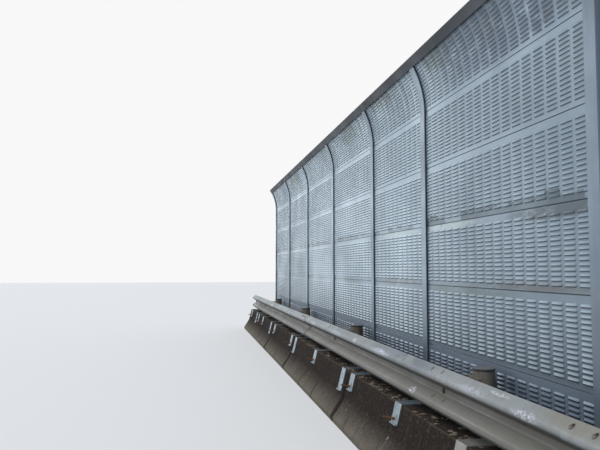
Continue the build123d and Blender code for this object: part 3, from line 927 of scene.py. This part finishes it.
HOOD_SHELL, HOOD_MOUTH = hood_meshes()
for bay, (high, low) in enumerate(zip(POSTS, POSTS[1:]), 1):
    ends = (low + END_GAP, high - END_GAP)
    points, faces = [], []
    for number in range(FLAT_PANELS):
        run_profile(flat_outline(PANEL_BOTTOM + number * PANEL_HEIGHT), *ends, points, faces)
    run_profile(bent_outline(), *ends, points, faces)
    host = new_object("bay_host", points, faces, PANEL)
    face_outwards(host)
    clear = high - low - POST_WIDTH
    columns = int((clear - LOUVRE_WIDTH) / LOUVRE_COLUMN_PITCH + 1e-6) + 1
    set_inputs(
        host, LOUVRES, Columns=columns, Rows=LOUVRE_ROWS, Panels=FLAT_PANELS + 1,
        Column_Pitch=LOUVRE_COLUMN_PITCH, Row_Pitch=LOUVRE_PITCH, Panel_Height=PANEL_HEIGHT,
        Lowest_Slot=LOWEST_SLOT, Bottom=PANEL_BOTTOM, Bend_Height=BEND_START - PANEL_BOTTOM,
        Bend_Radius=FACE_RADIUS, Face=PANEL_FACE, Middle=(high + low) / 2, Unevenness=0.12, Seed=bay,
        Hood=HOOD_SHELL, Mouth=HOOD_MOUTH, Sheet_Material=LOUVRE, Mouth_Material=SLOT_SHADE,
    )
    panels = plain(host, f"bay_{bay}_louvred_panels")
    finish_piece(panels, "panel_sheet", f"bay_{bay}_panels", f"bay_{bay}_top_panel")
bpy.data.objects.remove(HOOD_SHELL)
bpy.data.objects.remove(HOOD_MOUTH)


# Fixings
def ring(radius, sides, height, turn=0.0):
    """Points round the Z axis at one height."""
    angles = [turn + math.tau * i / sides for i in range(sides)]
    return [(radius * math.cos(angle), radius * math.sin(angle), height) for angle in angles]


def stack(rings, material, name, smooth=False):
    """A closed shape from rings of points, all with the same number of sides, from the lowest up."""
    sides = len(rings[0])
    points = [point for level in rings for point in level]
    faces = [tuple(range(sides - 1, -1, -1))]
    for level in range(len(rings) - 1):
        for i in range(sides):
            following = (i + 1) % sides
            base = level * sides
            faces.append((base + i, base + following, base + sides + following, base + sides + i))
    faces.append(tuple(range((len(rings) - 1) * sides, len(rings) * sides)))
    return new_object(name, points, faces, material, smooth)


def join(objects, name):
    """One object from several of the same material."""
    work = bmesh.new()
    for made in objects:
        work.from_mesh(made.data)
    material = objects[0].data.materials[0]
    for made in objects:
        bpy.data.objects.remove(made)
    mesh = bpy.data.meshes.new(name)
    work.to_mesh(mesh)
    work.free()
    mesh.materials.append(material)
    made = bpy.data.objects.new(name, mesh)
    bpy.context.scene.collection.objects.link(made)
    return made


def anchor_bolt(material, size):
    """Washer, hexagon nut and the end of the bolt, standing on its own foot."""
    washer_top = 0.003
    nut_top = washer_top + size * 0.8
    washer = stack([ring(size * 1.25, 16, 0), ring(size * 1.25, 16, washer_top)], material, "washer")
    nut = stack([ring(size * 0.95, 6, washer_top), ring(size * 0.95, 6, nut_top)], material, "nut")
    tip = [(0.5, 0.0), (0.5, 0.012), (0.4, 0.014)]
    end = stack([ring(size * wide, 12, nut_top + up) for wide, up in tip], material, "end")
    return join([washer, nut, end], "anchor_bolt")


def button_head(material, radius):
    crown = [(1, 0), (0.96, 0.003), (0.7, 0.0065), (0.3, 0.008)]
    rings = [ring(radius * wide, 14, height) for wide, height in crown]
    return stack(rings, material, "button_head", smooth=True)


def long_bolt(material):
    """A threaded bolt with a nut at its root that stands out from the strap."""
    nut_height = 0.012
    bolt_end = 0.086
    thread_pitch = 0.005
    nut = stack([ring(0.014, 6, 0.0), ring(0.014, 6, nut_height)], material, "nut")
    levels = []
    height = nut_height
    while height < bolt_end:
        levels.append(ring(0.0078, 10, height))
        levels.append(ring(0.0066, 10, height + thread_pitch / 2))
        height += thread_pitch
    return join([nut, stack(levels, material, "thread")], "long_bolt")


def oval(material, length, width, height=0.0006):
    """A slot seen as a thin dark oval, painted shade of the open slot, long along its own Y."""
    sides = 16
    points = []
    for i in range(sides):
        angle = math.tau * i / sides
        shift = (length - width) / 2 * (1 if math.sin(angle) >= 0 else -1)
        points.append((width / 2 * math.cos(angle), width / 2 * math.sin(angle) + shift))
    levels = [[(x, y, level) for x, y in points] for level in (0.0, height)]
    return stack(levels, material, "oval")


def scatter(name, item, places, turn, material, slot, spin=0.0, seed=1):
    """Sets the item on every place and makes one finished piece of the copies. The item is used up."""
    host = new_object("host", places, [], material)
    set_inputs(host, COPIES, Item=item, Turn=turn, Spin=spin, Seed=seed, Material=material)
    finish_piece(plain(host, name), slot)
    bpy.data.objects.remove(item)


UPRIGHT = (0, 0, 0)
OUT = math.radians(90)
PLATE_LIFT = 0.0005

# Anchors of the barrier posts, behind the panels
places = [
    (x + side, FLANGE + depth, BASE_PLATE_TOP + PLATE_LIFT)
    for x in POSTS for side in (-0.095, 0.095) for depth in (0.125, 0.2)
]
scatter("post_anchor_bolts", anchor_bolt(ZINC, 0.018), places, UPRIGHT, ZINC, "post_steel", spin=1.0, seed=4)

# Anchors and lids of the rail posts
places = [
    (x + side, RAIL_POST_AXIS + depth, PARAPET_TOP + RAIL_POST_PLATE + PLATE_LIFT)
    for x in RAIL_POSTS for side in (-0.09, 0.09) for depth in (-0.105, 0.05)
]
bolt = anchor_bolt(RUST, 0.014)
scatter("rail_post_anchor_bolts", bolt, places, UPRIGHT, RUST, "rail_post_steel", spin=1.0, seed=5)
rim = [(0.0042, -0.010), (0.0052, -0.008), (0.0052, -0.002), (0.0035, 0.0), (-0.02, 0.0016)]
lid = stack([ring(RAIL_POST_RADIUS + out, 40, up) for out, up in rim], LID, "lid")
places = [(x, RAIL_POST_AXIS, RAIL_POST_TOP) for x in RAIL_POSTS]
scatter("rail_post_lids", lid, places, UPRIGHT, LID, "rail_post_steel", spin=1.0)

# Bolts and slots of the crash rail. Each slope is given by the depth and height at which it starts
UPPER_SLOPE = (RAIL_LIP, RAIL_HALF_HEIGHT)
LOWER_SLOPE = (RAIL_SHEET, -RAIL_HALF_VALLEY)


def rail_shift(x):
    """How far out the rail is set at a place. The first and third lengths lap over the second."""
    shifted = x > RAIL_LAPS[0] - RAIL_LAP / 2 or x < RAIL_LAPS[1] + RAIL_LAP / 2
    return RAIL_LAP_SHIFT if shifted else 0.0


def on_slope(name, item, material, slope, along, share, lift):
    """Sets the item on a slope that faces up, by its share of the way from the start out to the crest."""
    depth, height = slope
    reach = RAIL_DEPTH - depth
    angle = math.atan2(RAIL_FLANK, reach)
    places = []
    for x in along:
        y = RAIL_BACK - rail_shift(x) - depth - reach * share
        z = RAIL_MIDDLE + height - RAIL_FLANK * share
        places.append((x, y - lift * math.sin(angle), z + lift * math.cos(angle)))
    scatter(name, item, places, (angle, 0, 0), material, "rail_galvanised")


def in_valley(name, item, material, lift):
    places = [(x, RAIL_BACK - rail_shift(x) - RAIL_SHEET - lift, RAIL_MIDDLE) for x in RAIL_SLOTS]
    scatter(name, item, places, (OUT, 0, 0), material, "rail_galvanised")


pair = [x + side for x in RAIL_SLOTS for side in (-0.086, 0.086)]
on_slope("upper_wave_slots", oval(HOLE_SHADE, 0.034, 0.011), HOLE_SHADE, UPPER_SLOPE, pair, share=0.42, lift=0.0004)
on_slope("lower_wave_slots", oval(HOLE_SHADE, 0.034, 0.011), HOLE_SHADE, LOWER_SLOPE, pair, share=0.5, lift=0.0004)
in_valley("valley_slots", oval(HOLE_SHADE, 0.042, 0.03), HOLE_SHADE, lift=0.0004)
in_valley("valley_bolts", button_head(DIRTY_AND_SHADED, 0.02), DIRTY_AND_SHADED, lift=0.0008)
splice = [x + side for x in RAIL_LAPS for side in (-0.127, 0.035)]
on_slope("upper_splice_slots", oval(HOLE_SHADE, 0.036, 0.024), HOLE_SHADE, UPPER_SLOPE, splice, share=0.45, lift=0.0004)
on_slope("upper_splice_bolts", button_head(DULL, 0.0125), DULL, UPPER_SLOPE, splice, share=0.52, lift=0.0009)
on_slope("lower_splice_bolts", button_head(DULL, 0.014), DULL, LOWER_SLOPE, splice, share=0.5, lift=0.0004)


# Long rusty bolts and open holes of the straps
def on_leg(x, down, lift):
    """A point on a strap's leg, by how far down it is and how far out from the strap's face."""
    out = STRAP_FACE + lift
    y = PARAPET_EDGE - down * math.sin(FACE_BATTER) - out * math.cos(FACE_BATTER)
    z = PARAPET_TOP - down * math.cos(FACE_BATTER) + out * math.sin(FACE_BATTER)
    return (x, y, z)


LEG_TURN = (OUT - FACE_BATTER, 0, 0)
places = [on_leg(x - 0.02, 0.118, 0.0002) for x in STRAPS if x not in LONG_STRAPS]
scatter("strap_bolts", long_bolt(RUST), places, LEG_TURN, RUST, "strap_galvanised", spin=1.0, seed=7)
places = [on_leg(x + 0.025, 0.09, 0.0001) for x in STRAPS]
places += [on_leg(x - 0.01, 0.055, 0.0001) for x in LONG_STRAPS]
places += [on_leg(x, 0.17, 0.0001) for x in LONG_STRAPS]
scatter("strap_holes", oval(HOLE_SHADE, 0.02, 0.014), places, LEG_TURN, HOLE_SHADE, "strap_galvanised")


# Loose dirt on the parapet's top, under the rail
def crumb(name):
    """An uneven lump of dried dirt."""
    rings = [(0.35, 0.0), (1.0, 0.35), (0.8, 0.75), (0.25, 1.0)]
    made = stack([ring(0.012 * wide, 6, 0.007 * high, turn=0.4 * high) for wide, high in rings], DIRT, name)
    for point in made.data.vertices:
        point.co.x *= 1.7
        point.co += Vector((math.sin(point.co.y * 500), math.cos(point.co.x * 400), 0)) * 0.0018
    return made


CRUMB_COUNT = 900
LAST_CRUMB = 6.98
dice = random.Random(12)
crumbs = []
while len(crumbs) < CRUMB_COUNT:
    x = dice.uniform(-LAST_CRUMB, LAST_CRUMB)
    clump = math.sin(x * 5.3) + math.sin(x * 2.1 + 1) + math.sin(x * 11)
    if clump > dice.uniform(-2.2, 2.4):
        y = PARAPET_EDGE + 0.012 + abs(dice.gauss(0, 0.07))
        crumbs.append((x, y, PARAPET_TOP + dice.uniform(-0.001, 0.0004)))
scatter("dirt_on_parapet", crumb("crumb"), crumbs, UPRIGHT, DIRT, "concrete", spin=6.0, seed=9)


# Floor and light
floor_paint = Paint("floor", (0.72, 0.72, 0.72, 1), 0.9)
reach = 60
corners = [(-reach, -reach, 0), (reach, -reach, 0), (reach, reach, 0), (-reach, reach, 0)]
floor = new_object("floor", corners, [(0, 1, 2, 3)], floor_paint.material)

world = bpy.data.worlds.new("studio")
world.use_nodes = True
bpy.context.scene.world = world
tree = world.node_tree
background = tree.nodes["Background"]
background.inputs["Color"].default_value = (0.80, 0.86, 0.93, 1)
background.inputs["Strength"].default_value = 0.6
seen = tree.nodes.new("ShaderNodeBackground")
seen.inputs["Color"].default_value = (0.94, 0.94, 0.94, 1)
choose = tree.nodes.new("ShaderNodeMixShader")
tree.links.new(tree.nodes.new("ShaderNodeLightPath").outputs["Is Camera Ray"], choose.inputs[0])
tree.links.new(background.outputs[0], choose.inputs[1])
tree.links.new(seen.outputs[0], choose.inputs[2])
tree.links.new(choose.outputs[0], tree.nodes["World Output"].inputs[0])


def soft_sun(name, strength, width, colour, place, target):
    """A broad, soft sun. The width is its angle in degrees."""
    data = bpy.data.lights.new(name, "SUN")
    data.energy = strength
    data.angle = math.radians(width)
    data.color = colour
    made = bpy.data.objects.new(name, data)
    bpy.context.scene.collection.objects.link(made)
    made.location = place
    made.rotation_euler = (Vector(target) - Vector(place)).to_track_quat("-Z", "Y").to_euler()


soft_sun("soft_light", 1.9, 40, (1.0, 1.0, 1.0), (3, -8, 14), (0, 0, 1))
soft_sun("low_light", 0.8, 45, (0.93, 0.97, 1.0), (-26, -9, 6), (0, 0, 1.5))
